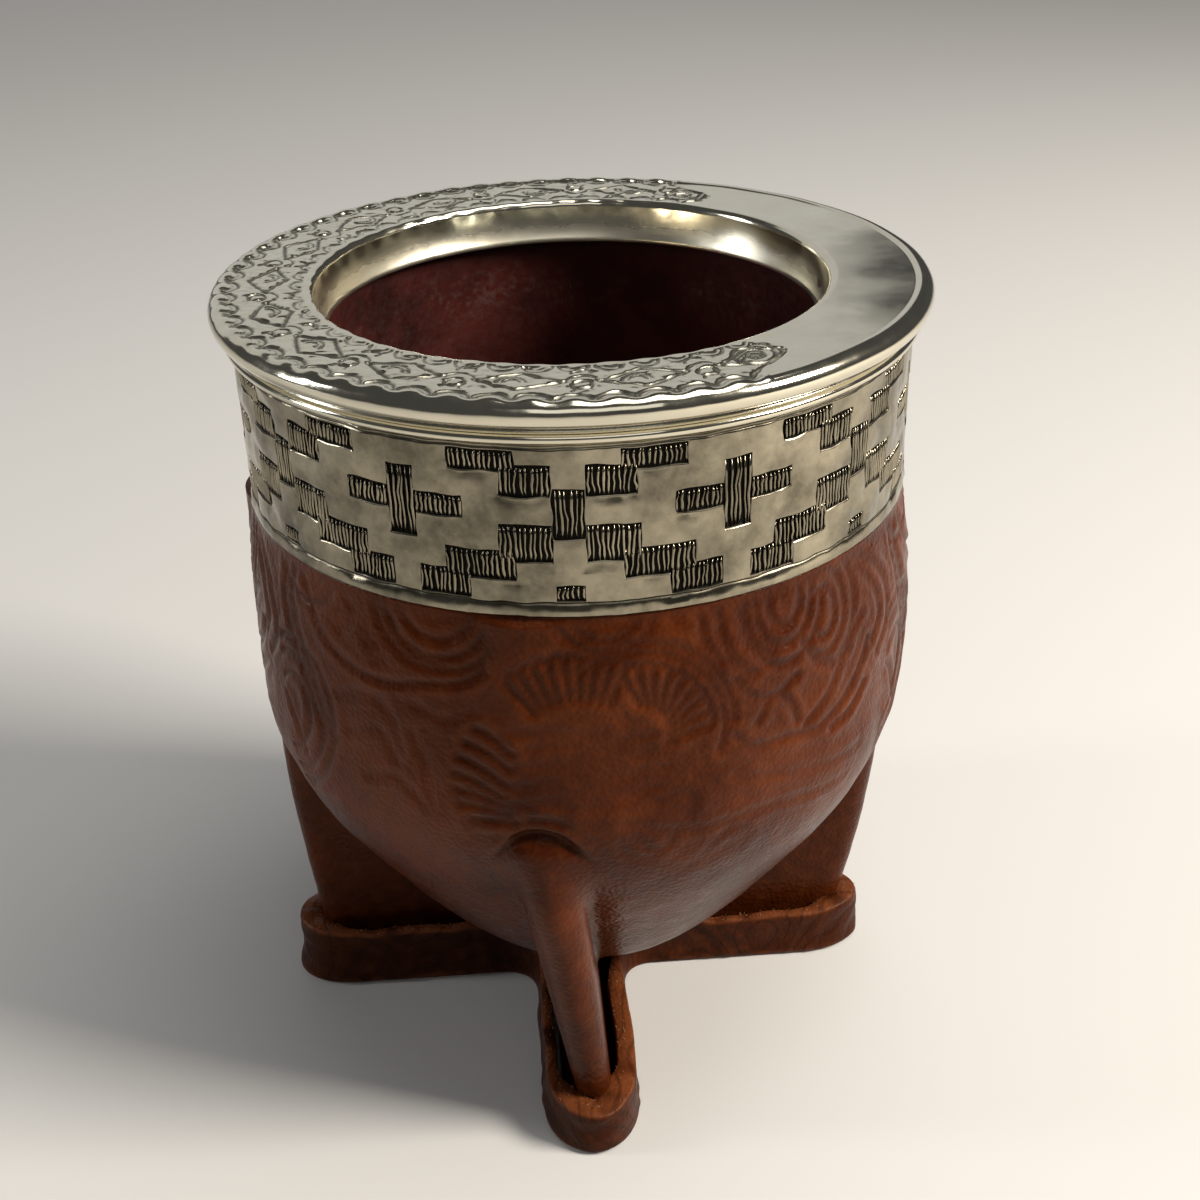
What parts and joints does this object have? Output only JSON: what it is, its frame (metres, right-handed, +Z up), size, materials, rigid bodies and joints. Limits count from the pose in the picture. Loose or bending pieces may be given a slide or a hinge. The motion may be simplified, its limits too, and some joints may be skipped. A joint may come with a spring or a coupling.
{
  "type": "mate gourd cup",
  "caption": "Empty mate gourd cup: hollow gourd in tooled leather with upright fins on a cross-shaped leather foot, under an engraved metal rim and a stepped-pattern band.",
  "frame": {"origin": "on the rim's axis, at the level of the surface that the foot stands on", "axes": "+Z up along the rim's axis; the fins lie along X and Y; the plain field of the rim faces +X"},
  "size_m": [0.096, 0.096, 0.1148],
  "materials": {
    "rim_metal": "polished nickel silver, dark patina in the engraving",
    "band_metal": "soft polish on the raised fields, blackened hatching in the recesses",
    "gourd_skin": "matt dark cured gourd",
    "cover_leather": "tooled, softly polished reddish brown",
    "foot_leather": "soft reddish brown with a paler raw edge"
  },
  "bodies": {
    "root": {"rim": "rim_metal", "pattern_band": "band_metal", "gourd": "gourd_skin", "leather_cover": "cover_leather", "foot_strip": "foot_leather", "sole": "foot_leather"}
  },
  "joints": []
}
